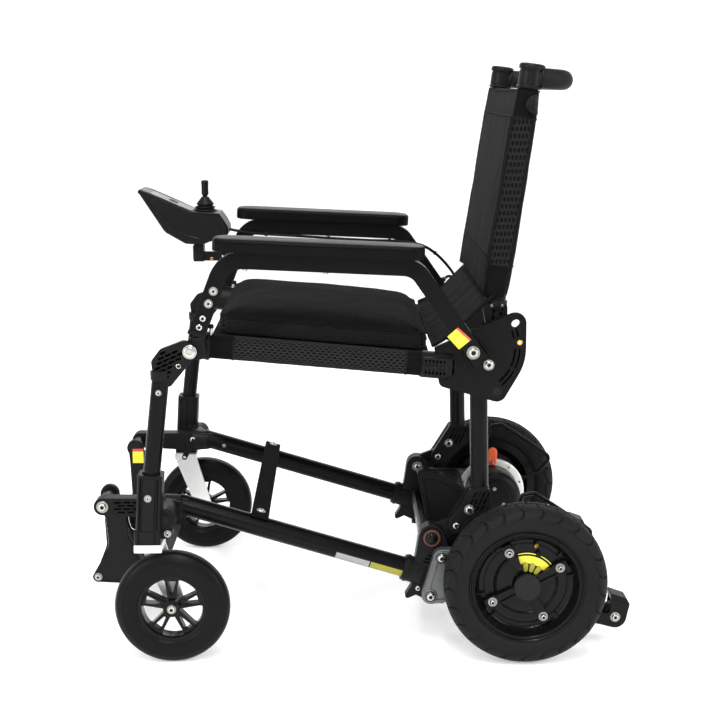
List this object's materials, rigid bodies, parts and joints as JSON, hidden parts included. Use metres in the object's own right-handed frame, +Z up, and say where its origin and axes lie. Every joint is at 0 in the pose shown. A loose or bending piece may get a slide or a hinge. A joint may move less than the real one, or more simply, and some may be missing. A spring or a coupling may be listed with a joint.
{
  "type": "folding power wheelchair",
  "caption": "Folding power wheelchair: slanted linkage legs, swivel front casters, motor-driven rear wheels, cushion seat, tilting back and armrests, joystick control and flip-up footrest.",
  "frame": {"origin": "centre of the bounding box's base, on the floor", "axes": "+Z up; -Y is the chair's front; +X is the sitter's left"},
  "size_m": [0.6, 0.8724, 0.9114],
  "materials": {
    "black_paint": "black satin powder coat",
    "black_casting": "black satin powder coat on cast metal",
    "bare_aluminium": "satin silver",
    "grey_casting": "grey cast, as cast",
    "motor_black": "black satin with a silver flange ring",
    "tyre_rubber": "black matt",
    "black_rubber": "black matt",
    "foam_grip": "black foam, fine grain",
    "black_fabric": "black woven mesh",
    "black_plastic": "black, fine grain",
    "pad_plastic": "black moulded foam skin",
    "orange_plastic": "orange"
  },
  "bodies": {
    "chassis": {"side_rail_L": "black_paint", "side_rail_R": "black_paint", "front_arm_L": "black_casting", "front_arm_R": "black_casting", "rear_knuckle_L": "black_casting", "rear_knuckle_R": "black_casting", "drive_bracket_L": "grey_casting", "drive_bracket_R": "grey_casting", "motor_L": "motor_black", "motor_R": "motor_black", "anti_tip_arm_L": "black_plastic", "anti_tip_arm_R": "black_plastic", "cross_strap": "black_paint", "rear_frame": "black_paint"},
    "battery": {"battery": "black_plastic"},
    "front_legs": {"front_leg_L": "black_paint", "front_leg_R": "black_paint", "leg_socket_L": "black_casting", "leg_socket_R": "black_casting"},
    "rear_legs": {"rear_leg_L": "black_paint", "rear_leg_R": "black_paint"},
    "seat_frame": {"seat_tube_L": "black_fabric", "seat_tube_R": "black_fabric", "front_bracket_L": "black_casting", "front_bracket_R": "black_casting", "side_plate_L": "black_casting", "side_plate_R": "black_casting", "seat_crossbar_front": "black_paint", "seat_crossbar_rear": "black_paint", "seat_cushion": "black_fabric"},
    "backrest": {"back_post_L": "black_paint", "back_post_R": "black_paint", "push_handle": "foam_grip", "back_upholstery": "black_fabric"},
    "armrest_left": {"armrest_tube_L": "black_paint", "armrest_pad_L": "pad_plastic"},
    "armrest_right": {"armrest_tube_R": "black_paint", "armrest_pad_R": "pad_plastic", "controller_body": "black_plastic", "controller_bracket": "black_casting", "controller_cable": "black_rubber"},
    "joystick_pitch": {"joystick_boot": "black_rubber"},
    "joystick_roll": {"joystick_stick": "black_plastic"},
    "power_button": {"power_button": "black_plastic"},
    "foot_hanger": {"foot_hanger": "black_plastic"},
    "footplate": {"footplate": "black_plastic"},
    "rear_wheel_left": {"rear_rim_L": "black_paint", "rear_tyre_L": "tyre_rubber"},
    "caster_swivel_left": {"caster_fork_L": "bare_aluminium"},
    "caster_wheel_left": {"caster_rim_L": "black_plastic", "caster_tyre_L": "tyre_rubber"},
    "anti_tip_wheel_left": {"anti_tip_wheel_L": "black_rubber"},
    "release_lever_left": {"release_lever_L": "orange_plastic"},
    "rear_wheel_right": {"rear_rim_R": "black_paint", "rear_tyre_R": "tyre_rubber"},
    "caster_swivel_right": {"caster_fork_R": "bare_aluminium"},
    "caster_wheel_right": {"caster_rim_R": "black_plastic", "caster_tyre_R": "tyre_rubber"},
    "anti_tip_wheel_right": {"anti_tip_wheel_R": "black_rubber"},
    "release_lever_right": {"release_lever_R": "orange_plastic"}
  },
  "joints": [
    {"name": "frame_fold", "type": "hinge", "parent": "chassis", "child": "front_legs", "pos_m": [0, -0.29925, 0.23], "axis": [1, 0, 0], "range_deg": [0, 70]},
    {"name": "rear_leg_fold", "type": "hinge", "parent": "chassis", "child": "rear_legs", "pos_m": [0, 0.14975, 0.2], "axis": [1, 0, 0], "range_deg": [0, 70]},
    {"name": "seat_level", "type": "hinge", "parent": "front_legs", "child": "seat_frame", "pos_m": [0, -0.25425, 0.49], "axis": [1, 0, 0], "range_deg": [-70, 0]},
    {"name": "backrest_fold", "type": "hinge", "parent": "seat_frame", "child": "backrest", "pos_m": [0, 0.16775, 0.485], "axis": [1, 0, 0], "range_deg": [0, 60]},
    {"name": "armrest_left_lift", "type": "hinge", "parent": "seat_frame", "child": "armrest_left", "pos_m": [0.246, 0.16775, 0.485], "axis": [1, 0, 0], "range_deg": [-95, 0]},
    {"name": "armrest_right_lift", "type": "hinge", "parent": "seat_frame", "child": "armrest_right", "pos_m": [-0.246, 0.16775, 0.485], "axis": [1, 0, 0], "range_deg": [-95, 0]},
    {"name": "joystick_pitch", "type": "hinge", "parent": "armrest_right", "child": "joystick_pitch", "pos_m": [-0.246, -0.27755, 0.6495], "axis": [1, 0, 0], "range_deg": [-18, 18], "stiffness_Nm_per_rad": 0.06},
    {"name": "joystick_roll", "type": "hinge", "parent": "joystick_pitch", "child": "joystick_roll", "pos_m": [-0.246, -0.27755, 0.6495], "axis": [0, 1, 0], "range_deg": [-18, 18], "stiffness_Nm_per_rad": 0.06},
    {"name": "power_button_press", "type": "slide", "parent": "armrest_right", "child": "power_button", "axis": [0, 0.3978, 0.9175], "range_m": [-0.0015, 0], "stiffness_N_per_m": 400},
    {"name": "foot_hanger_swing", "type": "hinge", "parent": "chassis", "child": "foot_hanger", "pos_m": [0, -0.40325, 0.232], "axis": [1, 0, 0], "range_deg": [-85, 0]},
    {"name": "footplate_flip", "type": "hinge", "parent": "foot_hanger", "child": "footplate", "pos_m": [0, -0.42825, 0.089], "axis": [1, 0, 0], "range_deg": [0, 180]},
    {"name": "battery_lift", "type": "slide", "parent": "chassis", "child": "battery", "axis": [0, 0, 1], "range_m": [0, 0.1]},
    {"name": "rear_wheel_left_spin", "type": "hinge", "parent": "chassis", "child": "rear_wheel_left", "pos_m": [0.27, 0.25275, 0.127], "axis": [1, 0, 0], "continuous": true},
    {"name": "caster_left_swivel", "type": "hinge", "parent": "front_legs", "child": "caster_swivel_left", "pos_m": [0.262, -0.32425, 0.181], "axis": [0, 0, 1], "continuous": true},
    {"name": "caster_left_spin", "type": "hinge", "parent": "caster_swivel_left", "child": "caster_wheel_left", "pos_m": [0.262, -0.29125, 0.089], "axis": [1, 0, 0], "continuous": true},
    {"name": "anti_tip_left_spin", "type": "hinge", "parent": "chassis", "child": "anti_tip_wheel_left", "pos_m": [0.196, 0.40675, 0.0445], "axis": [1, 0, 0], "continuous": true},
    {"name": "release_lever_left_turn", "type": "hinge", "parent": "chassis", "child": "release_lever_left", "pos_m": [0.2014, 0.25275, 0.1835], "axis": [1, 0, 0], "range_deg": [0, 40]},
    {"name": "rear_wheel_right_spin", "type": "hinge", "parent": "chassis", "child": "rear_wheel_right", "pos_m": [-0.27, 0.25275, 0.127], "axis": [1, 0, 0], "continuous": true},
    {"name": "caster_right_swivel", "type": "hinge", "parent": "front_legs", "child": "caster_swivel_right", "pos_m": [-0.262, -0.32425, 0.181], "axis": [0, 0, 1], "continuous": true},
    {"name": "caster_right_spin", "type": "hinge", "parent": "caster_swivel_right", "child": "caster_wheel_right", "pos_m": [-0.262, -0.29125, 0.089], "axis": [1, 0, 0], "continuous": true},
    {"name": "anti_tip_right_spin", "type": "hinge", "parent": "chassis", "child": "anti_tip_wheel_right", "pos_m": [-0.196, 0.40675, 0.0445], "axis": [1, 0, 0], "continuous": true},
    {"name": "release_lever_right_turn", "type": "hinge", "parent": "chassis", "child": "release_lever_right", "pos_m": [-0.2014, 0.25275, 0.1835], "axis": [1, 0, 0], "range_deg": [0, 40]}
  ],
  "couplings": [
    {"joint": "rear_leg_fold", "follows": "frame_fold", "ratio": 1},
    {"joint": "seat_level", "follows": "frame_fold", "ratio": -1}
  ]
}
